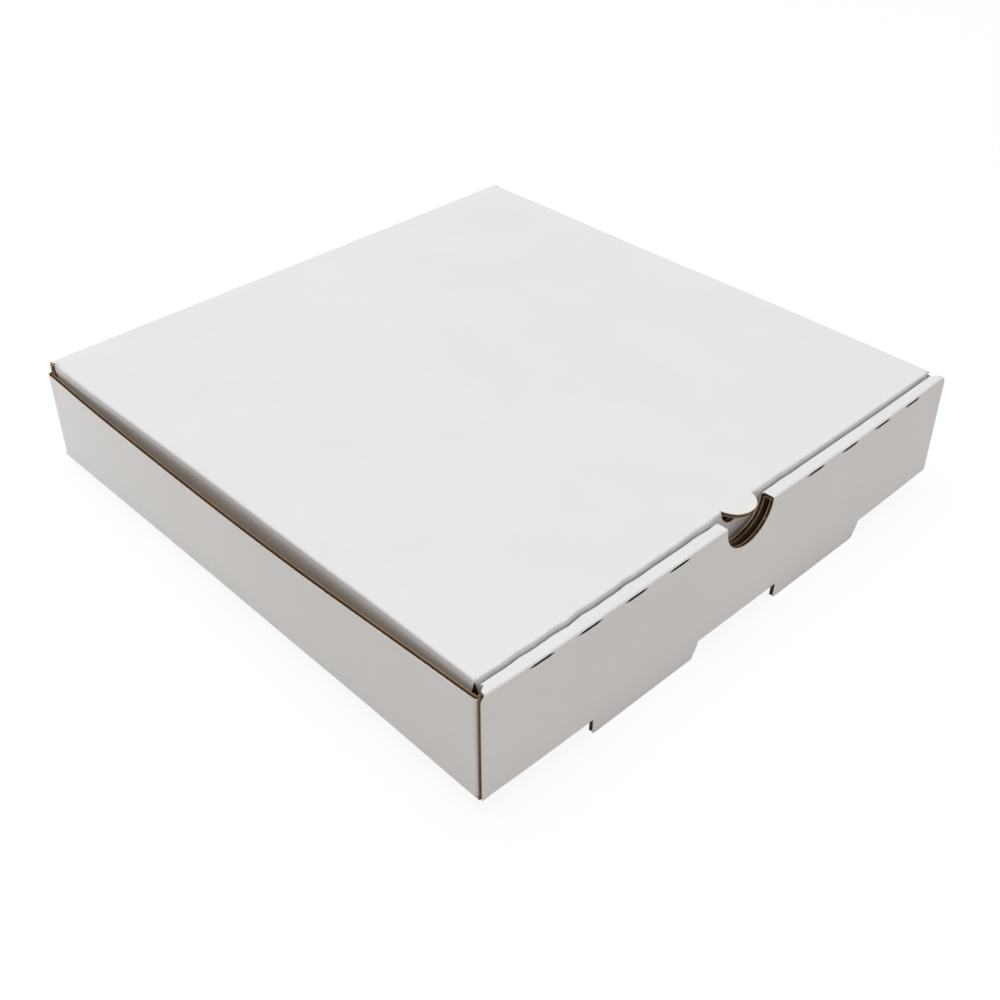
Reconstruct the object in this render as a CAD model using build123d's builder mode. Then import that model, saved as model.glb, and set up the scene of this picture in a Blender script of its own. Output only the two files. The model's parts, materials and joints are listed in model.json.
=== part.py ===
"""Corrugated pizza box: a folded tray and the lid that is hinged to its rear wall.

Front is -Y, up is +Z. The origin is under the middle of the box, at the tips of its feet.
"""

import os
from math import pi, radians, sqrt, tan

from build123d import *

os.makedirs("parts", exist_ok=True)

# The board
board = 1.7  # thickness of the fluted board
crease_radius = 0.4  # inside radius of a pressed fold
layer_gap = 0.15  # air between layers that lie together

# The box over its outer faces, with heights from the underside of the base
box_width = 258.0
box_depth = 262.0
side_height = 44.8
front_height = 47.8
lid_rise = 1.4  # the lid's top above the front ledge

# Front wall
ledge_edge_radius = 0.9  # the ledge's front edge is folded tight along its slits
end_taper = 1.7  # taken off the top corners of the outer front wall
end_drop = 2.6
inner_wall_inset = 2.2  # from a side wall's inner face to the inner front wall's end
notch_radius = 13.1
slit_length = 11.6
slit_width = 0.75  # the slits gape where the fold is bent
slit_taper = 2.6  # length of a slit's pointed ends
slit_drop = 1.2  # from the top of the ledge to the slits
slits_per_side = 4
first_slit = 38.7  # middle of the slit nearest the notch
last_slit_margin = 25.2  # from the middle of the last slit to the wall's end

# Feet of the front wall, and the lock tabs behind them
foot_drop = 6.3  # below the base
foot_width = 55.0
foot_centre = 50.7
foot_taper = 11.0  # degrees
foot_rounding = 1.4
lock_margin = 1.5  # from the foot's tip to the lock tab's end, along the wall
lock_drop = 4.2  # below the base

# Corner flaps of the side walls
corner_flap_lift = 0.5  # from the base to the flaps' lower edges
corner_flap_reach = 36.0
corner_flap_rounding = 7.0

# Lid
side_gap = 1.2  # between a side wall and the lid's side flap
front_gap = 0.5  # between the inner front wall and the lid's front flap
hinge_gap = 0.2  # between the two halves of the rear fold
front_flap_height = 34.0
front_flap_lean = 5.0  # degrees, towards the inside
front_flap_taper = 9.0  # taken off each end, at the bottom
side_flap_height = 32.0
side_flap_taper = 8.0
flap_rounding = 9.0
corner_relief = 0.1  # between the mitred ends of the lid's front and side folds
flap_clearance = 0.6  # from the side flaps' rear ends to the corner flaps
thumb_tab_radius = 8.6  # the tab reaches to the front face

# Planes and levels that the pieces share
fold_middle = crease_radius + board / 2
fold_outer = crease_radius + board
fold_length = fold_middle * pi / 2
x_side = box_width / 2
y_front = -box_depth / 2
y_rear = box_depth / 2
z_base = foot_drop
z_floor = z_base + board
z_corner_flap = z_floor + corner_flap_lift
z_side = z_base + side_height
z_ledge = z_base + front_height
z_lid = z_ledge + lid_rise
over = 1.0  # how far a cut runs past the board

# Front wall: outer wall, corner flap and inner wall, one behind the other
ledge_depth = 3 * board + 2 * layer_gap
y_inner_wall = y_front + ledge_depth - board / 2
y_front_flap = y_front + 1.5 * board + layer_gap
y_rear_flap = y_rear - 1.5 * board - layer_gap
x_wall_middle = x_side - board / 2
x_corner_flap = x_side - corner_flap_reach
y_side_fold = y_rear - fold_outer
x_inner_wall = x_side - board - inner_wall_inset
slit_pitch = (x_side - last_slit_margin - first_slit) / (slits_per_side - 1)
slit_places = [
    (side * (first_slit + step * slit_pitch), 0) for side in (-1, 1) for step in range(slits_per_side)
]

# Feet: each is cut from the base, so the slot that it leaves is as long as the foot
foot_places = [(-foot_centre, 0), (foot_centre, 0)]
foot_half = foot_width / 2
foot_tip_half = foot_half - foot_drop * tan(radians(foot_taper))
slot_reach = 2 * fold_outer + foot_drop - fold_length
lock_tip_half = foot_tip_half - lock_margin
lock_half = lock_tip_half + lock_drop * tan(radians(foot_taper))

# Lid: its panel is as wide as the rear wall, and hangs its flaps inside the tray's walls
x_panel = x_side - board - side_gap
x_panel_flat = x_panel - fold_outer
y_lid_front = y_front + ledge_depth + front_gap
y_panel_flat = y_lid_front + fold_outer
lean_shift = front_flap_height * tan(radians(front_flap_lean))
y_side_flap_rear = y_rear - 2 * board - layer_gap - flap_clearance
rear_fold_reach = 3 * board
y_thumb_tab = y_front + thumb_tab_radius
z_thumb_hole = z_lid + y_thumb_tab - y_lid_front - 2 * fold_outer + fold_length


with BuildPart() as tray:
    # Rear wall, base, outer front wall, ledge and inner front wall: one strip of board
    with BuildSketch(Plane.YZ):
        with BuildLine():
            FilletPolyline(
                (y_rear - rear_fold_reach, z_lid - board / 2),
                (y_rear - board / 2, z_lid - board / 2),
                (y_rear - board / 2, z_base + board / 2),
                (y_front + board / 2, z_base + board / 2),
                (y_front + board / 2, z_ledge),
                radius=fold_middle,
            )
        trace(line_width=board)
        with BuildLine():
            FilletPolyline(
                (y_front, z_ledge - board / 2),
                (y_inner_wall, z_ledge - board / 2),
                (y_inner_wall, z_floor + layer_gap),
                radius=fold_middle,
            )
        trace(line_width=board)
        fillet(vertices().sort_by_distance((y_front, z_ledge))[0], ledge_edge_radius)
    extrude(amount=x_panel, both=True)

    # The outer front wall and its ledge run on across the ends of the side walls
    for x_start in (-x_side, x_panel):
        with BuildSketch(Plane.YZ.offset(x_start)):
            with BuildLine():
                Line((y_front + board / 2, z_base + 0.6 * fold_outer), (y_front + board / 2, z_ledge))
            trace(line_width=board)
            with BuildLine():
                Line((y_front, z_ledge - board / 2), (y_front + ledge_depth - fold_outer, z_ledge - board / 2))
            trace(line_width=board)
            fillet(vertices().sort_by_distance((y_front, z_ledge))[0], ledge_edge_radius)
        extrude(amount=x_side - x_panel)

    # The ledge narrows to the inner wall, which stands between the side walls
    with BuildSketch(Plane.XY.offset(z_floor)):
        Polygon(
            (x_side, y_front + board / 2),
            (x_inner_wall, y_front + ledge_depth - fold_outer),
            (x_inner_wall, y_front + ledge_depth + over),
            (x_side + over, y_front + ledge_depth + over),
            (x_side + over, y_front + board / 2),
            align=None,
        )
        mirror(about=Plane.YZ)
    extrude(amount=front_height, mode=Mode.SUBTRACT)

    # The outer wall's ends are cut back to the ledge at their top corners
    with BuildSketch(Plane.XZ.offset(-y_front + over)):
        Polygon(
            (x_side, z_ledge - end_drop),
            (x_side - end_taper, z_ledge),
            (x_side - end_taper, z_ledge + over),
            (x_side + over, z_ledge + over),
            (x_side + over, z_ledge - end_drop),
            align=None,
        )
        mirror(about=Plane.YZ)
    extrude(amount=-ledge_depth - 2 * over, mode=Mode.SUBTRACT)

    # Slots in the base, where the feet are cut free of the fold
    with BuildSketch(Plane.XY.offset(z_base - over)):
        with Locations(*foot_places):
            Polygon(
                (-foot_half, y_front - over),
                (-foot_half, y_front + fold_outer),
                (-foot_tip_half, y_front + slot_reach),
                (foot_tip_half, y_front + slot_reach),
                (foot_half, y_front + fold_outer),
                (foot_half, y_front - over),
                align=None,
            )
    extrude(amount=fold_outer + over, mode=Mode.SUBTRACT)

    # Feet, straight down from the outer front wall
    with BuildSketch(Plane.XZ.offset(-y_front)):
        with Locations(*foot_places):
            Polygon(
                (-foot_half, z_base + fold_outer),
                (-foot_half, z_base),
                (-foot_tip_half, z_base - foot_drop),
                (foot_tip_half, z_base - foot_drop),
                (foot_half, z_base),
                (foot_half, z_base + fold_outer),
                align=None,
            )
        fillet(vertices().group_by(Axis.Y)[0], foot_rounding)
    extrude(amount=-board)

    # Lock tabs of the inner wall, pushed down through the slots behind the feet
    with BuildSketch(Plane.XZ.offset(-y_inner_wall)):
        with Locations(*foot_places):
            Polygon(
                (-lock_half, z_floor + fold_outer),
                (-lock_half, z_base),
                (-lock_tip_half, z_base - lock_drop),
                (lock_tip_half, z_base - lock_drop),
                (lock_half, z_base),
                (lock_half, z_floor + fold_outer),
                align=None,
            )
        fillet(vertices().group_by(Axis.Y)[0], foot_rounding)
    extrude(amount=board / 2, both=True)

    # Thumb notch through all three layers of the front wall
    with BuildSketch(Plane.XZ.offset(-y_front + over)):
        with Locations((0, z_ledge - board / 2)):
            Circle(notch_radius)
            Rectangle(2 * notch_radius, board / 2 + over, align=(Align.CENTER, Align.MIN))
    extrude(amount=-ledge_depth - 2 * over, mode=Mode.SUBTRACT)

    # Perforation slits through the outer wall, under the tight fold of the ledge
    slit_plane = Plane(origin=(0, y_front, z_ledge - slit_drop), x_dir=(1, 0, 0), z_dir=(0, -1, 1))
    with BuildSketch(slit_plane.offset(slit_width)):
        with Locations(*slit_places):
            Polygon(
                (-slit_length / 2, 0),
                (slit_taper - slit_length / 2, -slit_width / 2),
                (slit_length / 2 - slit_taper, -slit_width / 2),
                (slit_length / 2, 0),
                (slit_length / 2 - slit_taper, slit_width / 2),
                (slit_taper - slit_length / 2, slit_width / 2),
                align=None,
            )
    extrude(amount=-sqrt(2) * board - 2 * slit_width, mode=Mode.SUBTRACT)

    # The upper half of the rear fold belongs to the lid
    with BuildSketch(Plane.YZ):
        Polygon(
            (y_rear + over, z_lid + over - hinge_gap),
            (y_rear - 2 * rear_fold_reach, z_lid - 2 * rear_fold_reach - hinge_gap),
            (y_rear - 2 * rear_fold_reach, z_lid + over),
            (y_rear + over, z_lid + over),
            align=None,
        )
    extrude(amount=x_panel + over, both=True, mode=Mode.SUBTRACT)

    # Folds between the base and the side walls
    with BuildSketch(Plane.XZ):
        with BuildLine():
            FilletPolyline(
                (x_panel - fold_outer, z_base + board / 2),
                (x_wall_middle, z_base + board / 2),
                (x_wall_middle, z_corner_flap),
                radius=fold_middle,
            )
        trace(line_width=board)
        mirror(about=Plane.YZ)
    extrude(amount=y_side_fold, both=True)

    # Side walls, with a corner flap turned in from each end
    with BuildSketch(Plane.XY.offset(z_corner_flap)):
        with BuildLine():
            FilletPolyline(
                (x_corner_flap, y_front_flap),
                (x_wall_middle, y_front_flap),
                (x_wall_middle, y_rear_flap),
                (x_corner_flap, y_rear_flap),
                radius=fold_middle,
            )
        trace(line_width=board)
        mirror(about=Plane.YZ)
    extrude(amount=z_side - z_corner_flap)
    across_board = edges().filter_by(Axis.Y)
    for x_end in (-x_corner_flap, x_corner_flap):
        fillet(across_board.filter_by_position(Axis.X, x_end - over, x_end + over), corner_flap_rounding)


with BuildPart() as lid:
    # Rear fold, top panel and front flap: one strip of board
    with BuildSketch(Plane.YZ):
        with BuildLine():
            FilletPolyline(
                (y_rear - board / 2, z_lid - rear_fold_reach),
                (y_rear - board / 2, z_lid - board / 2),
                (y_lid_front + board / 2, z_lid - board / 2),
                (y_lid_front + board / 2 + lean_shift, z_lid - front_flap_height),
                radius=fold_middle,
            )
        trace(line_width=board)
    extrude(amount=x_panel, both=True)

    # Where the side flaps bend down, the panel ends, and the front fold is mitred
    with BuildSketch(Plane.XY.offset(z_lid + over)):
        Polygon(
            (x_panel_flat, y_panel_flat),
            (x_panel + over, y_lid_front - over),
            (x_panel + over, y_side_flap_rear),
            (x_panel_flat, y_side_flap_rear),
            align=None,
        )
        mirror(about=Plane.YZ)
    extrude(amount=-front_flap_height - 2 * over, mode=Mode.SUBTRACT)

    # Tapered ends and rounded corners of the front flap
    with BuildSketch(Plane.XZ.offset(-y_lid_front + over)):
        Polygon(
            (x_panel, z_lid - crease_radius),
            (x_panel - front_flap_taper, z_lid - front_flap_height - over),
            (x_panel + over, z_lid - front_flap_height - over),
            (x_panel + over, z_lid - crease_radius),
            align=None,
        )
        mirror(about=Plane.YZ)
    extrude(amount=-lean_shift - 2 * board - over, mode=Mode.SUBTRACT)
    bottom_edges = faces().sort_by(Axis.Z)[0].edges().sort_by(Axis.X)
    fillet([bottom_edges[0], bottom_edges[-1]], flap_rounding)

    # The lower half of the rear fold belongs to the tray
    with BuildSketch(Plane.YZ):
        Polygon(
            (y_rear + over, z_lid + over),
            (y_rear - 2 * rear_fold_reach, z_lid - 2 * rear_fold_reach),
            (y_rear + over, z_lid - 2 * rear_fold_reach),
            align=None,
        )
    extrude(amount=x_panel + over, both=True, mode=Mode.SUBTRACT)

    with BuildPart(mode=Mode.PRIVATE) as side_flap:
        # Side flap, bent down from the top panel
        with BuildSketch(Plane.XZ.offset(-y_side_flap_rear)):
            with BuildLine():
                FilletPolyline(
                    (x_panel_flat - fold_outer, z_lid - board / 2),
                    (x_panel - board / 2, z_lid - board / 2),
                    (x_panel - board / 2, z_lid - side_flap_height),
                    radius=fold_middle,
                )
            trace(line_width=board)
        extrude(amount=y_side_flap_rear - y_lid_front)

        # Its fold is mitred to the front fold
        with BuildSketch(Plane.XY.offset(z_lid + over)):
            Polygon(
                (x_panel_flat, y_panel_flat + corner_relief),
                (x_panel + over, y_lid_front - over + corner_relief),
                (x_panel + over, y_lid_front - 2 * over),
                (x_panel_flat - 2 * fold_outer, y_lid_front - 2 * over),
                (x_panel_flat - 2 * fold_outer, y_panel_flat + corner_relief),
                align=None,
            )
        extrude(amount=-side_flap_height - 2 * over, mode=Mode.SUBTRACT)

        # Tapered ends and rounded corners
        with BuildSketch(Plane.YZ.offset(x_panel - board)):
            Polygon(
                (y_lid_front + corner_relief, z_lid - crease_radius),
                (y_lid_front + corner_relief + side_flap_taper, z_lid - side_flap_height - over),
                (y_lid_front - over, z_lid - side_flap_height - over),
                (y_lid_front - over, z_lid - crease_radius),
                align=None,
            )
            Polygon(
                (y_side_flap_rear, z_lid - fold_outer),
                (y_side_flap_rear - side_flap_taper, z_lid - side_flap_height - over),
                (y_side_flap_rear + over, z_lid - side_flap_height - over),
                (y_side_flap_rear + over, z_lid - fold_outer),
                align=None,
            )
        extrude(amount=board, mode=Mode.SUBTRACT)
        bottom_edges = faces().sort_by(Axis.Z)[0].edges().sort_by(Axis.Y)
        fillet([bottom_edges[0], bottom_edges[-1]], flap_rounding)
    add(side_flap.part)
    mirror(side_flap.part, about=Plane.YZ)

    # Thumb tab: cut out of the front flap, it stays level with the top panel
    with BuildSketch(Plane.XZ.offset(-y_lid_front + over)):
        with Locations((0, z_thumb_hole)):
            Circle(thumb_tab_radius)
    extrude(amount=-2 * fold_outer - over, mode=Mode.SUBTRACT)
    with BuildSketch(Plane.XY.offset(z_lid - board)):
        with Locations((0, y_thumb_tab)):
            Circle(thumb_tab_radius)
            Rectangle(2 * thumb_tab_radius, 2 * fold_outer + over, align=(Align.CENTER, Align.MIN))
    extrude(amount=board)


tray.part.label = "tray"
export_step(tray.part, "parts/tray.step")
lid.part.label = "lid"
export_step(lid.part, "parts/lid.step")
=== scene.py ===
"""Looks of the pizza box: white-faced corrugated board with brown flutes on its cut edges."""

import json
import math
from collections import namedtuple

import bmesh
import bpy
from mathutils import Matrix, Vector, noise
from mathutils.bvhtree import BVHTree


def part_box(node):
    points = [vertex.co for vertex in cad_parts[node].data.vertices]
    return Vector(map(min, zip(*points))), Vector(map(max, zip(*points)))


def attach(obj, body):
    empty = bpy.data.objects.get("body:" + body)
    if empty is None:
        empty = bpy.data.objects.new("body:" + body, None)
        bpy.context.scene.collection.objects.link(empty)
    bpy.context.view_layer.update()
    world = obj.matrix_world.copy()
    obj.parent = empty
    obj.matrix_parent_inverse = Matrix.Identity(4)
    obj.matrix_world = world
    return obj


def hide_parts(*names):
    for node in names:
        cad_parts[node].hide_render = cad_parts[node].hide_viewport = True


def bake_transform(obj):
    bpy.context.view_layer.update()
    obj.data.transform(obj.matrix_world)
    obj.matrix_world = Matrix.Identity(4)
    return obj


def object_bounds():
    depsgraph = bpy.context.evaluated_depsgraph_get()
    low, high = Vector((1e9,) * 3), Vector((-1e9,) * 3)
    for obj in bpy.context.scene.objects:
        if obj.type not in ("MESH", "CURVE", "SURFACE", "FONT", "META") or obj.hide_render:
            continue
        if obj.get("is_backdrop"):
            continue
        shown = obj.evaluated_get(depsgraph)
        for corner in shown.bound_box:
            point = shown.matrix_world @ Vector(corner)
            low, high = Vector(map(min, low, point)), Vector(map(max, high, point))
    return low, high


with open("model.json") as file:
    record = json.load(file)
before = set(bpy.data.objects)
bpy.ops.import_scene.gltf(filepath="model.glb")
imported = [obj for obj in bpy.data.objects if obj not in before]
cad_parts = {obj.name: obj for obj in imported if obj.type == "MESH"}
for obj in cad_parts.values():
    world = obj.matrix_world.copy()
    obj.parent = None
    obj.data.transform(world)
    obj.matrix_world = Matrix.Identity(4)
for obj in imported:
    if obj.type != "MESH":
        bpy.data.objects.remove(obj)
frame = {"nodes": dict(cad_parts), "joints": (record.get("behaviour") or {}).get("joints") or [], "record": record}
cad_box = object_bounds()

mm = 0.001
tray_low, tray_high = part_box("tray")
lid_low, lid_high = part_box("lid")
tray_solid = frame["nodes"]["tray"]
lid_solid = frame["nodes"]["lid"]
up = Vector((0, 0, 1))
hinge = Vector(frame["joints"][0]["pos_m"])
base_level = Vector(frame["record"]["mounts"][0]["pos_m"]).z

# The board: two liners, with a fluted medium glued between them
board = lid_solid.ray_cast(up, -up)[1].z - lid_solid.ray_cast(-up, up)[1].z
liner = 0.3 * mm
medium = 0.2 * mm
flute_pitch = 3.2 * mm
flute_height = (board - 2 * liner - medium) / 2
flute_drift = 0.015  # a cut is never quite in line with the flutes
flute_unrest = 0.7  # radians by which the flutes stray from an even pitch
flute_unrest_length = 20 * mm
ragged_depth = 0.12 * mm  # from the cut back to the medium, which the die leaves ragged
ragged_range = 0.1 * mm
ragged_length = 1.5 * mm
ragged_share = 0.8  # the most of a shallow groove that it may take up
edge_depth = 2.2 * mm  # how far the flutes are modelled into a cut edge
least_depth = 0.05 * mm
bend_share = 0.6  # of the way to a bend, where the flutes end sooner
wave_step = 0.27 * mm
slit_girth = 30 * mm  # the way round a hole that is too small to show flutes

# Folds
crease = 1.1 * mm  # inside radius of the rear fold, which is bent again and again
crease_reach = crease + board + 0.4 * mm  # from the hinge line to where the rear fold ends
crease_steps = 9
crease_tuck = 0.8 * mm  # how far the brown liners run on into the closed fold
crease_calm = 40 * mm  # from the hinge line to where the board warps in full
lid_fold = board + 0.4 * mm  # outside radius of the lid's other folds
lid_fold_power = 5  # of the curve that they are tightened to: 2 is round
flap_level = Vector((lid_high.x / 2, -1, lid_high.z - lid_fold))
lid_edge = lid_solid.ray_cast(flap_level, Vector((0, 1, 0)))[1].y  # the lid's front fold
flap_middle = tray_high.y - 1.6 * board  # of the corner flaps' board
pressed_start = 0.6 * board  # of the front ledge's ends, behind the front wall's face
pressed_length = 2.5 * board
pressed_height = 2 * board
pressed_lean = -0.3  # how far a pressed face may look to the front
painted_shade_start = 0.9 * board  # where the painted shade on the double front wall's inside starts, behind its face
painted_shade_end = 2.3 * board

# Faces of the modelled board
grid = 10 * mm
front_grid = 3.5 * mm  # along the lid's front edge, which is crumpled
crumpled = 12 * mm  # how far behind that edge
touching = 0.001 * mm
board_reach = 1.05 * board  # a little more than the way through
flat_angle = math.radians(0.5)  # faces that meet at less than this are one face
fold_facet = math.radians(40)  # faces that meet at less than this belong to one bent liner
sharp_angle = math.radians(35)
opposite = -0.9  # cosine between the two faces of a board
alike = 0.99
mostly = 0.5
mitre_limit = 0.5  # keeps the way out of a cut edge short at its corners
# The flute medium's material also serves as painted shade: it is darkened for the hollows of cut edges
WHITE, KRAFT, CUT_WHITE, CUT_KRAFT, MEDIUM_AND_SHADE, RAW = range(6)
Rim = namedtuple("Rim", "point normal out travel depth")  # a place on a cut edge's white rim

# Handling leaves a board that is never quite flat
warp_height = 0.35 * mm
warp_length = 90 * mm
noise.seed_set(1)  # the warp is the same in every run
side_bow = 3.0 * mm  # of a side wall's top edge, half way along
front_bow = 1.3 * mm  # of the front wall's top edge
base_bow = 0.68  # share of it that the base's front edge has
foot_lean = 3.3  # how much faster the bow shrinks below the base
foot_shift = 0.7 * mm  # to the left
foot_root = -0.04  # where the feet come free, as a share of the wall's height
lid_bow = 0.7 * mm  # of the lid's front edge
lid_front = tray_low.y + 3.3 * board  # where the lid's bow passes into the front wall's
front_wave = 0.95 * mm  # of the lid's front edge, less to the right
front_wave_length = 7 * mm
edge_drop = 0.6 * mm  # of the lid's front edge, beside its tab
edge_slope = 60 * mm  # from that edge back to where the lid is level
tab_reach = 14 * mm  # from the middle of the tab
wall_top = tray_solid.ray_cast(Vector((tray_high.x - board / 2, 0, 1)), -up)[1].z
base_lift = 3.3 * mm  # of the base's rear left corner: the base is twisted
corner_drop = 1.35 * mm  # of its front left corner, behind the front wall
corner_width = 4 * mm
corner_length = 71 * mm
wall_inside = tray_low.y + 1.1 * board


def ramp(value, start, end):
    """Rises smoothly from 0 at the start to 1 at the end."""
    share = min(1, max(0, (value - start) / (end - start)))
    return share * share * (3 - 2 * share)


def tightened(point):
    """Pulls the lid's round front and side folds out towards their edges, and presses the front down."""
    moved = point.copy()
    above = 1 - (lid_high.z - point.z) / lid_fold
    if above <= 0 or not lid_edge - touching < point.y < hinge.y - crease_reach:
        return moved
    for axis, inside, way in (
        (0, lid_high.x - abs(point.x), math.copysign(1, point.x)),
        (1, point.y - lid_edge, -1),
    ):
        across = 1 - inside / lid_fold
        if across > 0 and inside > -touching:
            tight = (across ** lid_fold_power + above ** lid_fold_power) ** (1 / lid_fold_power)
            pull = math.hypot(across, above) / tight
            moved[axis] += way * (min(1, across * pull) - across) * lid_fold
            moved.z = max(moved.z, lid_high.z - (1 - min(1, above * pull)) * lid_fold)
    beside_tab = ramp(abs(point.x), tab_reach, 3 * tab_reach)
    near_edge = ramp(point.y, lid_edge + edge_slope, lid_edge)
    moved.z -= edge_drop * min(1, above) * beside_tab * near_edge
    return moved


def warp(point):
    """Where a point of the ideal box lies on the handled one, with bowed walls and a twisted base."""
    from_fold = math.hypot(point.y - hinge.y, point.z - hinge.z)
    unrest = warp_height * ramp(from_fold, 2 * crease_reach, crease_calm)
    moved = tightened(point) + unrest * noise.noise_vector(point / warp_length)
    height = (point.z - base_level) / (wall_top - base_level)
    rise = min(1, max(0, height))
    if abs(point.x) > (lid_high.x + tray_high.x - board) / 2:
        half_way = math.cos(math.pi / 2 * point.y / tray_high.y)
        moved.x += math.copysign(side_bow, point.x) * rise * half_way
    near_lid_front = ramp(point.y, 0, lid_front)
    near_wall = ramp(point.y, lid_front, tray_low.y + board)
    bow = lid_bow * near_lid_front + (front_bow - lid_bow) * near_wall
    stand = base_bow + height * (1 - base_bow if height > 0 else foot_lean)
    from_corner = 1 - (point.x / tray_high.x) ** 4
    moved.y -= bow * stand * from_corner
    leftward = 0.5 - point.x / (2 * tray_high.x)
    wave = leftward * from_corner * noise.noise(Vector((point.x / front_wave_length, 0, 0)))
    near_edge = ramp(point.y, lid_edge + crumpled, lid_edge) * (1 - near_wall)
    moved.y += front_wave * wave * near_edge
    moved.x -= foot_shift * ramp(height, 0, foot_root)
    rearward = 0.5 + point.y / (2 * tray_high.y)
    near_left = ramp(point.x, tray_low.x + corner_width, tray_low.x)
    near_front = ramp(point.y, tray_low.y + corner_length, tray_low.y) if point.y > wall_inside else 0
    twist = base_lift * leftward * rearward - corner_drop * near_left * near_front
    moved.z += twist * (1 - rise)
    return moved


def flute_direction(point, normal):
    """Flutes run left to right in the flat blank, so they are upright in side walls and their flaps."""
    middle = point - normal * board / 2
    in_corner_flap = abs(abs(middle.y) - flap_middle) < board / 2 and abs(normal.y) > mostly
    if abs(normal.x) > mostly or in_corner_flap:
        return up
    return Vector((1, 0, 0))


def stations(low, high, spacing):
    """Even places from one end to the other, no further apart than the spacing."""
    steps = math.ceil((high - low) / spacing)
    return [low + (high - low) * step / steps for step in range(steps + 1)]


def cut(sheet, geometry, axis, place):
    """Cuts a part of a sheet along a plane across one axis."""
    normal = Vector((axis == 0, axis == 1, axis == 2))
    bmesh.ops.bisect_plane(
        sheet, geom=geometry, plane_co=normal * place, plane_no=normal, dist=touching
    )


def solid_sheet(node, cuts):
    """A node's solid, cut into a grid of small faces."""
    sheet = bmesh.new()
    sheet.from_mesh(frame["nodes"][node].data)
    bmesh.ops.remove_doubles(sheet, verts=sheet.verts, dist=touching)
    bmesh.ops.dissolve_limit(sheet, angle_limit=flat_angle, verts=sheet.verts, edges=sheet.edges)
    bmesh.ops.triangulate(sheet, faces=sheet.faces)
    low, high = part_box(node)
    planes = list(cuts)
    for axis in range(3):
        planes += [(axis, place) for place in stations(low[axis], high[axis], grid)[1:-1]]
    for axis, place in planes:
        cut(sheet, sheet.verts[:] + sheet.edges[:] + sheet.faces[:], axis, place)
    for place in stations(low.x, high.x, front_grid)[1:-1]:
        geometry = [v for v in sheet.verts if v.co.y < lid_edge + crumpled]
        for edge_or_face in sheet.edges[:] + sheet.faces[:]:
            if all(v.co.y < lid_edge + crumpled for v in edge_or_face.verts):
                geometry.append(edge_or_face)
        cut(sheet, geometry, 0, place)
    bmesh.ops.triangulate(sheet, faces=sheet.faces)
    sheet.normal_update()
    return sheet


def spread(start, joins):
    """The faces that can be reached from one face over the edges that join them."""
    found = {start}
    front = [start]
    while front:
        face = front.pop()
        for edge in face.edges:
            for other in edge.link_faces:
                if other not in found and joins(edge, other):
                    found.add(other)
                    front.append(other)
    return found


def face_index(face):
    return face.index


def is_raw(edge, face):
    return face.material_index == RAW


def is_smooth(edge, face):
    return edge.calc_face_angle(math.pi) < fold_facet


def sort_faces(sheet, facing):
    """Tells liners from cut edges: through a liner the board is one thickness deep."""
    tree = BVHTree.FromBMesh(sheet)
    liner_share = []
    for face in sheet.faces:
        inside = face.calc_center_median() - face.normal * touching
        place, normal, index, depth = tree.ray_cast(inside, -face.normal, board_reach)
        through = place is not None and normal.dot(face.normal) < opposite
        liner_share.append(face.calc_area() * (1 if through else -1))
    sheet.faces.index_update()
    waiting = set(sheet.faces)
    for start in sheet.faces:
        if start in waiting:
            patch = spread(start, is_smooth)
            waiting -= patch
            kind = KRAFT if sum(liner_share[face.index] for face in patch) > 0 else RAW
            for face in patch:
                face.material_index = kind
    liners = [face for face in sheet.faces if face.material_index == KRAFT]
    outer = [face for face in liners if face.normal.dot(facing) > alike]
    start = max(outer, key=lambda face: face.calc_center_median().dot(facing))
    for face in spread(start, is_smooth):
        face.material_index = WHITE


def rim_chain(faces):
    """The white liner's rim along one cut edge: its vertices in order, the first again if it closes."""
    rim = {}
    for face in faces:
        for edge in face.edges:
            if any(other.material_index == WHITE for other in edge.link_faces):
                for vertex in edge.verts:
                    rim.setdefault(vertex, []).append(edge)
    ends = [vertex for vertex in rim if len(rim[vertex]) == 1]
    first = min(ends or rim, key=lambda v: (v.co.x, v.co.y, v.co.z))
    chain = [first]
    used = set()
    while True:
        ahead = [edge for edge in rim[chain[-1]] if edge not in used]
        if not ahead:
            return chain
        used.add(ahead[0])
        chain.append(ahead[0].other_vert(chain[-1]))


def rim_frame(vertex):
    """At a rim vertex: the white liner's normal, and the way out of the cut edge."""
    normal = Vector()
    outs = []
    for face in vertex.link_faces:
        if face.material_index == WHITE:
            normal += face.normal * face.calc_area()
        elif face.material_index == RAW:
            outs.append(face.normal)
    normal.normalize()
    first = outs[0]
    last = min(outs, key=lambda n: n.dot(first))
    out = (first + last) / max(1 + first.dot(last), mitre_limit)
    return normal, out - normal * out.dot(normal)


def add_ribbon(shape, rows, materials):
    """Quads between rows of points, one material for each strip along them."""
    last = None
    for row in rows:
        verts = [shape.verts.new(point) for point in row]
        if last:
            for place, material in enumerate(materials):
                corners = (last[place], last[place + 1], verts[place + 1], verts[place])
                face = shape.faces.new(corners)
                face.material_index = material
        last = verts


def groove_depth(tree, point, normal, out):
    """How far the flutes are followed into a cut edge: less where the board bends away."""
    way = -out.normalized()
    depth = edge_depth
    for down in (liner, board / 2, board - liner):
        start = point - normal * down + way * touching
        place, side, index, reach = tree.ray_cast(start, way, 2 * edge_depth)
        if place is not None:
            depth = min(depth, bend_share * reach / out.length if side.dot(way) > 0 else 0)
    return max(depth, least_depth)


def groove_rows(chain):
    """Across a cut edge: the white liner's edge, the hollow for the flutes, the brown liner's edge."""
    for rim in chain:
        section = (
            (0, 0),
            (liner, 0),
            (liner, rim.depth),
            (board - liner, rim.depth),
            (board - liner, 0),
            (board, 0),
        )
        yield [rim.point - rim.normal * down - rim.out * inward for down, inward in section]


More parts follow.
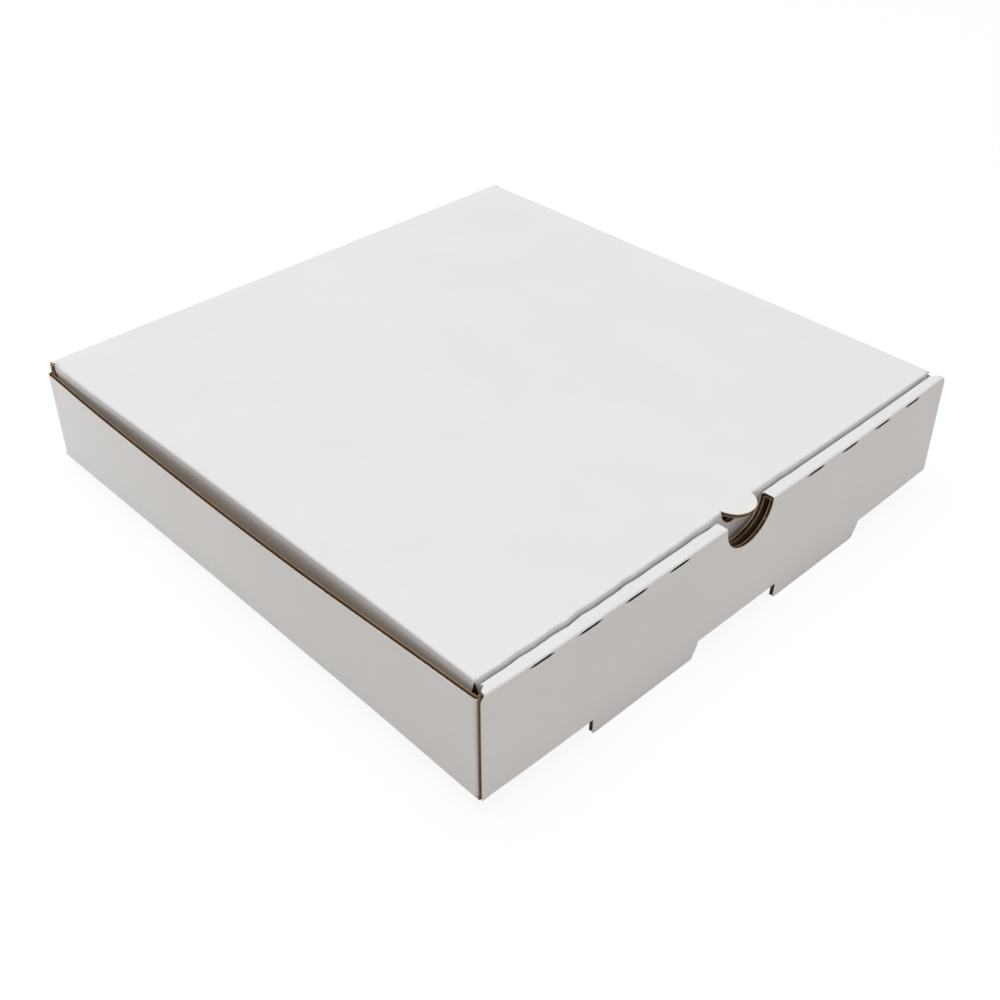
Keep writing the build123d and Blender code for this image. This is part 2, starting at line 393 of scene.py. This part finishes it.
def flute_rows(chain):
    """The medium as a wave along the cut edge, slightly ragged where the die cut it."""
    for first, last in zip(chain, chain[1:]):
        steps = max(1, math.ceil((last.point - first.point).length / wave_step))
        for step in range(steps + 1):
            share = step / steps
            place = first.point.lerp(last.point, share)
            across = first.normal.lerp(last.normal, share).normalized()
            outward = first.out.lerp(last.out, share)
            depth = first.depth + (last.depth - first.depth) * share
            travel = first.travel + (last.travel - first.travel) * share
            turn = 2 * math.pi * travel / flute_pitch
            turn += flute_unrest * noise.noise(place / flute_unrest_length)
            middle = board / 2 + flute_height * math.sin(turn)
            ragged = ragged_depth + ragged_range * noise.noise(place / ragged_length)
            ragged = min(ragged, ragged_share * depth)
            section = (
                (middle - medium / 2, depth),
                (middle - medium / 2, ragged),
                (middle + medium / 2, ragged),
                (middle + medium / 2, depth),
            )
            yield [place - across * down - outward * inward for down, inward in section]


def is_pressed(rim):
    """At the front ledge's ends the fold crushes the flutes, and only the white liner shows."""
    at_side = abs(rim.point.x) > lid_high.x - pressed_length
    at_front = tray_low.y + pressed_start < rim.point.y < 0
    at_top = rim.point.z > wall_top - pressed_height
    level = rim.normal.y > pressed_lean and abs(rim.normal.x) < mostly
    return at_side and at_front and at_top and level


def runs(chain):
    """The stretches of a cut edge that are pressed flat, and those that are not."""
    part = chain[:1]
    pressed = is_pressed(chain[0])
    for rim in chain[1:]:
        part.append(rim)
        if is_pressed(rim) != pressed:
            yield part, pressed
            part = [rim]
            pressed = not pressed
    if len(part) > 1:
        yield part, pressed


def open_edges(sheet):
    """Opens the sheet's cut edges to show the flutes, which are returned as a shape of their own."""
    flutes = bmesh.new()
    tree = BVHTree.FromBMesh(sheet)
    waiting = {face for face in sheet.faces if face.material_index == RAW}
    opened = []
    while waiting:
        edge_faces = sorted(spread(min(waiting, key=face_index), is_raw), key=face_index)
        waiting.difference_update(edge_faces)
        verts = rim_chain(edge_faces)
        girth = sum((a.co - b.co).length for a, b in zip(verts, verts[1:]))
        if girth < slit_girth:
            continue
        travel = 0
        chain = []
        for place, vertex in enumerate(verts):
            normal, out = rim_frame(vertex)
            if place:
                step = vertex.co - verts[place - 1].co
                along = flute_direction(vertex.co, normal)
                travel += step.dot(normal.cross(along)) + flute_drift * step.length
            depth = groove_depth(tree, vertex.co, normal, out)
            chain.append(Rim(vertex.co.copy(), normal, out, travel, depth))
        opened.append((edge_faces, chain))
    for edge_faces, chain in opened:
        bmesh.ops.delete(sheet, geom=edge_faces, context="FACES")
        for part, pressed in runs(chain):
            if pressed:
                flat = [rim._replace(depth=least_depth) for rim in part]
                add_ribbon(sheet, groove_rows(flat), (CUT_WHITE,) * 5)
            else:
                # The groove's walls and floor are painted in the darkened medium colour, as shade deep in the cut
                # edge
                add_ribbon(sheet, groove_rows(part), (CUT_WHITE, MEDIUM_AND_SHADE, MEDIUM_AND_SHADE, MEDIUM_AND_SHADE, CUT_KRAFT))
                add_ribbon(flutes, flute_rows(part), (MEDIUM_AND_SHADE, MEDIUM_AND_SHADE, MEDIUM_AND_SHADE))
    # Slits too small for flutes keep plain cut faces, painted in the darkened medium colour as shade
    for face in sheet.faces:
        if face.material_index == RAW:
            face.material_index = MEDIUM_AND_SHADE
    return flutes


def make_piece(name, shape, materials):
    """An object of a finished shape on the handled box, with UVs along and across the flutes."""
    shape.normal_update()
    blank = shape.loops.layers.uv.new("blank")
    for face in shape.faces:
        along = flute_direction(face.calc_center_median(), face.normal)
        across = face.normal.cross(along)
        for loop in face.loops:
            loop[blank].uv = (loop.vert.co.dot(along), loop.vert.co.dot(across))
    for vertex in shape.verts:
        vertex.co = warp(vertex.co)
    mesh = bpy.data.meshes.new(name)
    shape.to_mesh(mesh)
    shape.free()
    mesh.polygons.foreach_set("use_smooth", [True] * len(mesh.polygons))
    mesh.set_sharp_from_angle(angle=sharp_angle)
    for material in materials:
        mesh.materials.append(material)
    piece = bpy.data.objects.new(name, mesh)
    bpy.context.scene.collection.objects.link(piece)
    return piece


class Nodes:
    """A material's node tree, with short ways to add and link nodes."""

    def __init__(self, name):
        self.material = bpy.data.materials.new(name)
        self.material.use_nodes = True
        self.tree = self.material.node_tree
        self.shader = self.tree.nodes["Principled BSDF"]

    def add(self, kind, **inputs):
        node = self.tree.nodes.new(kind)
        for name, value in inputs.items():
            self.put(node.inputs[name.replace("_", " ")], value)
        return node

    def put(self, socket, value):
        if isinstance(value, bpy.types.NodeSocket):
            self.tree.links.new(value, socket)
        else:
            socket.default_value = value

    def noise(self, vector, scale, detail, roughness):
        node = self.add(
            "ShaderNodeTexNoise", Vector=vector, Scale=scale, Detail=detail, Roughness=roughness
        )
        return node.outputs["Fac"]

    def spread(self, value, low, high, to_low, to_high):
        node = self.add(
            "ShaderNodeMapRange",
            Value=value, From_Min=low, From_Max=high, To_Min=to_low, To_Max=to_high,
        )
        return node.outputs["Result"]

    def blend(self, share, first, second):
        node = self.tree.nodes.new("ShaderNodeMix")
        node.data_type = "RGBA"
        self.put(node.inputs["Factor"], share)
        self.put(node.inputs[6], first)
        self.put(node.inputs[7], second)
        return node.outputs[2]

    def bump(self, height, strength, distance, normal=None):
        node = self.add("ShaderNodeBump", Height=height, Strength=strength, Distance=distance)
        if normal:
            self.put(node.inputs["Normal"], normal)
        return node.outputs["Normal"]


# Paper: noise scales are per metre
cloud_scale = 28
grain_scale = 1400
grain_strength = 0.12
grain_height = 0.04 * mm
fibre_scale = (700, 160, 1)  # along and across the flutes
gloss_range = 0.06  # of the roughness, either way
washboard_height = 0.05 * mm
wave_turn = 20  # radians of Blender's wave texture at a scale of 1


def paper(name, pale, dark, fibre, roughness, specular, washboard):
    """Paper liner: cloudy colour, fibres along the board and the flutes faintly showing through."""
    nodes = Nodes(name)
    shader = nodes.shader.inputs
    place = nodes.add("ShaderNodeTexCoord").outputs["Object"]
    blank = nodes.add("ShaderNodeUVMap")
    blank.uv_map = "blank"
    sheet = blank.outputs["UV"]
    stretched = nodes.add("ShaderNodeMapping", Vector=sheet, Scale=fibre_scale)
    clouds = nodes.noise(place, cloud_scale, 4, 0.5)
    grain = nodes.noise(place, grain_scale, 3, 0.65)
    fibres = nodes.noise(stretched.outputs["Vector"], 1, 4, 0.6)
    colour = nodes.blend(nodes.spread(clouds, 0.35, 0.65, 0, 1), (*dark, 1), (*pale, 1))
    colour = nodes.blend(nodes.spread(fibres, 0.55, 0.8, 0, 0.5), colour, (*fibre, 1))
    matt, glossy = roughness + gloss_range, roughness - gloss_range
    waves = nodes.add("ShaderNodeTexWave", Vector=sheet, Scale=2 * math.pi / flute_pitch / wave_turn)
    waves.bands_direction = "Y"
    normal = nodes.bump(waves.outputs["Fac"], washboard, washboard_height)
    normal = nodes.bump(grain, grain_strength, grain_height, normal)
    nodes.put(shader["Base Color"], colour)
    nodes.put(shader["Roughness"], nodes.spread(grain, 0.3, 0.7, glossy, matt))
    nodes.put(shader["Specular IOR Level"], specular)
    nodes.put(shader["Normal"], normal)
    return nodes.material


white_paper = paper(
    "white_liner", (0.82, 0.815, 0.81), (0.80, 0.795, 0.79), (0.78, 0.77, 0.76),
    roughness=0.55, specular=0.35, washboard=0.12,
)
brown_paper = paper(
    "kraft_liner", (0.46, 0.295, 0.16), (0.385, 0.24, 0.125), (0.30, 0.18, 0.09),
    roughness=0.78, specular=0.25, washboard=0.35,
)
cut_white = paper(
    "cut_white_liner", (0.74, 0.67, 0.56), (0.66, 0.58, 0.47), (0.54, 0.45, 0.35),
    roughness=0.8, specular=0.2, washboard=0,
)
cut_brown = paper(
    "cut_kraft_liner", (0.42, 0.30, 0.19), (0.34, 0.235, 0.145), (0.26, 0.17, 0.1),
    roughness=0.85, specular=0.2, washboard=0,
)
# Flute medium: its own brown, darkened well below the liners' to stand in for the shade in the flute hollows, so
# partly painted shade
medium_and_shade_paper = paper(
    "flute_medium_and_painted_shade", (0.17, 0.105, 0.062), (0.125, 0.076, 0.044), (0.085, 0.05, 0.03),
    roughness=0.85, specular=0.2, washboard=0,
)
papers = (white_paper, brown_paper, cut_white, cut_brown, medium_and_shade_paper)

# Tray and lid: the CAD solids as board with open edges, without the rear fold that joins them
tray_sheet = solid_sheet("tray", [(2, hinge.z - crease_reach)])
lid_sheet = solid_sheet("lid", [(1, hinge.y - crease_reach)])
sort_faces(tray_sheet, -up)
sort_faces(lid_sheet, up)
for sheet, past in (
    (tray_sheet, lambda p: p.y > 0 and p.z > hinge.z - crease_reach),
    (lid_sheet, lambda p: p.y > hinge.y - crease_reach),
):
    fold = [face for face in sheet.faces if past(face.calc_center_median())]
    bmesh.ops.delete(sheet, geom=fold, context="FACES")
for face in tray_sheet.faces:
    depth = face.calc_center_median().y - tray_low.y
    if face.material_index == KRAFT and painted_shade_start < depth < painted_shade_end:
        face.material_index = MEDIUM_AND_SHADE  # painted shade: the kraft deep in the front wall's hollow gets the dark flute colour, for the shade that falls there
for name, sheet in (("tray", tray_sheet), ("lid", lid_sheet)):
    flutes = make_piece(name + "_flutes", open_edges(sheet), papers)
    board_piece = make_piece(name + "_board", sheet, papers)
    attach(flutes, name)
    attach(board_piece, name)
    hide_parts(name)


def fold_piece(name, white, brown, cut_end):
    """A part of the rear fold: strips of its white and brown liners, and its crushed ends."""
    sides = [Vector((x, 0, 0)) for x in stations(lid_low.x, lid_high.x, grid)]
    sheet = bmesh.new()
    for line, material in ((white, WHITE), (brown, KRAFT)):
        rows = [[point + side for point in line] for side in sides]
        add_ribbon(sheet, rows, (material,) * (len(line) - 1))
    if cut_end:
        for side in (sides[0], sides[-1]):
            face = sheet.faces.new([sheet.verts.new(point + side) for point in cut_end])
            face.material_index = CUT_KRAFT
    return make_piece(name, sheet, papers)


# Rear fold: a half on the tray and a half on the lid, joined by narrow strips
fold_radius = crease + board
fold_middle = hinge - Vector((0, fold_radius, fold_radius))
outside = [hinge - up * crease_reach]
for step in range(crease_steps + 1):
    angle = math.pi / 2 * step / crease_steps
    outside.append(fold_middle + fold_radius * Vector((0, math.cos(angle), math.sin(angle))))
outside.append(hinge - Vector((0, crease_reach, 0)))
half = len(outside) // 2
corner = hinge - Vector((0, board, board))
tray_brown = [corner + up * crease_tuck, hinge - Vector((0, board, crease_reach))]
lid_brown = [hinge - Vector((0, crease_reach, board)), corner + Vector((0, crease_tuck, 0))]
tray_end = outside[:half + 1] + [corner, tray_brown[1]]
lid_end = outside[half:] + [lid_brown[0], corner]
tray_half = fold_piece("rear_fold_tray", outside[:half], tray_brown, tray_end)
lid_half = fold_piece("rear_fold_lid", outside[half:], lid_brown, lid_end)
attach(tray_half, "tray")
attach(lid_half, "lid")
white_strip = fold_piece("rear_fold_white", outside[half - 1:half + 1], [], None)
brown_strip = fold_piece("rear_fold_brown", [], [lid_brown[1], tray_brown[0]], None)
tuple(outside[half - 1])
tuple(outside[half])
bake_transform(white_strip)
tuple(tray_brown[0])
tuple(lid_brown[1])
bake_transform(brown_strip)

# Floor: it passes under the feet and the rear edge of the base, so it leans a little
floor_size = 8
floor_gap = 0.2 * mm
floor_white = 1.05
floor_share = 0.86  # of that white in what the camera sees: the rest shows the shadow
bpy.ops.mesh.primitive_plane_add(size=floor_size)
floor = bpy.context.object
floor.name = "floor"
floor.location = (0, 0, base_level / 2 - floor_gap)
floor.rotation_euler = (math.atan2(base_level, tray_high.y - tray_low.y), 0, 0)
floor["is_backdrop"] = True


def backdrop_share(tree, share):
    """A factor for camera, glossy and transmitted rays."""
    path = tree.nodes.new("ShaderNodeLightPath")
    total = path.outputs["Is Camera Ray"]
    for name in ("Is Glossy Ray", "Is Transmission Ray"):
        node = tree.nodes.new("ShaderNodeMath")
        node.operation = "MAXIMUM"
        tree.links.new(total, node.inputs[0])
        tree.links.new(path.outputs[name], node.inputs[1])
        total = node.outputs[0]
    node = tree.nodes.new("ShaderNodeMath")
    node.operation = "MULTIPLY"
    tree.links.new(total, node.inputs[0])
    node.inputs[1].default_value = share
    return node.outputs[0]


floor_nodes = Nodes("floor_paper")
floor.data.materials.append(floor_nodes.material)
floor_tree = floor_nodes.tree
floor_nodes.shader.inputs["Base Color"].default_value = (0.80, 0.77, 0.745, 1)
floor_nodes.shader.inputs["Roughness"].default_value = 0.9
floor_glow = floor_nodes.add("ShaderNodeEmission", Color=(1, 1, 1, 1), Strength=floor_white)
floor_mix = floor_tree.nodes.new("ShaderNodeMixShader")
floor_tree.links.new(backdrop_share(floor_tree, floor_share), floor_mix.inputs[0])
floor_tree.links.new(floor_nodes.shader.outputs[0], floor_mix.inputs[1])
floor_tree.links.new(floor_glow.outputs[0], floor_mix.inputs[2])
floor_tree.links.new(floor_mix.outputs[0], floor_tree.nodes["Material Output"].inputs[0])

# Light: a room that is darker on the left, and one wide soft lamp overhead
room_level = 0.44
room_slope = 0.165
world = bpy.data.worlds.new("studio")
bpy.context.scene.world = world
world.use_nodes = True
world_tree = world.node_tree
room = world_tree.nodes["Background"]
room.inputs["Color"].default_value = (1, 0.956, 0.943, 1)
room_place = world_tree.nodes.new("ShaderNodeTexCoord")
room_side = world_tree.nodes.new("ShaderNodeSeparateXYZ")
room_strength = world_tree.nodes.new("ShaderNodeMath")
room_strength.operation = "MULTIPLY_ADD"
room_strength.inputs[1].default_value = room_slope
room_strength.inputs[2].default_value = room_level
world_tree.links.new(room_place.outputs["Generated"], room_side.inputs[0])
world_tree.links.new(room_side.outputs["X"], room_strength.inputs[0])
world_tree.links.new(room_strength.outputs[0], room.inputs["Strength"])
seen = world_tree.nodes.new("ShaderNodeBackground")
seen.inputs["Color"].default_value = (1, 1, 1, 1)
seen.inputs["Strength"].default_value = 1.0
world_mix = world_tree.nodes.new("ShaderNodeMixShader")
world_tree.links.new(backdrop_share(world_tree, 1.0), world_mix.inputs[0])
world_tree.links.new(room.outputs[0], world_mix.inputs[1])
world_tree.links.new(seen.outputs[0], world_mix.inputs[2])
world_tree.links.new(world_mix.outputs[0], world_tree.nodes["World Output"].inputs[0])

lamp_data = bpy.data.lights.new("softbox", "AREA")
lamp_data.shape = "SQUARE"
lamp_data.size = 1.4
lamp_data.energy = 17.2
lamp_data.color = (0.955, 0.995, 1.01)
lamp = bpy.data.objects.new("softbox", lamp_data)
lamp.location = (-0.1, 0.1, 1.6)
lamp.rotation_euler = (-lamp.location).to_track_quat("-Z", "Y").to_euler()
bpy.context.scene.collection.objects.link(lamp)

# A low reflector that lights the rear end of the left wall
card_data = bpy.data.lights.new("reflector", "AREA")
card_data.shape = "RECTANGLE"
card_data.size = 0.2
card_data.size_y = 0.04
card_data.energy = 0.09
card = bpy.data.objects.new("reflector", card_data)
card.location = (-0.3, 0.26, 0.03)
card.rotation_euler = Vector((0.2, -0.12, 0)).to_track_quat("-Z", "Y").to_euler()
card.visible_camera = False
bpy.context.scene.collection.objects.link(card)

# Camera, fitted to the corners of the box in the photograph
photo_size = 1000
focal_pixels = 1311.84
camera_place = Vector((-314.18, -332.50, 328.32)) * mm + up * base_level
azimuth = math.radians(-43.812)
elevation = math.radians(37.152)
roll = math.radians(-0.202)
camera_data = bpy.data.cameras.new("camera")
camera_data.sensor_width = 36
camera_data.lens = camera_data.sensor_width * focal_pixels / photo_size
camera = bpy.data.objects.new("camera", camera_data)
back = Vector((
    math.sin(azimuth) * math.cos(elevation),
    -math.cos(azimuth) * math.cos(elevation),
    math.sin(elevation),
))
aim = (-back).to_track_quat("-Z", "Y").to_matrix() @ Matrix.Rotation(roll, 3, "Z")
camera.matrix_world = Matrix.Translation(camera_place) @ aim.to_4x4()
bpy.context.scene.collection.objects.link(camera)
bpy.context.scene.camera = camera

bpy.context.scene.view_settings.view_transform = "Standard"

boxes = {"cad": cad_box, "visual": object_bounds()}
{name: [list(corner) for corner in box] for name, box in boxes.items()}
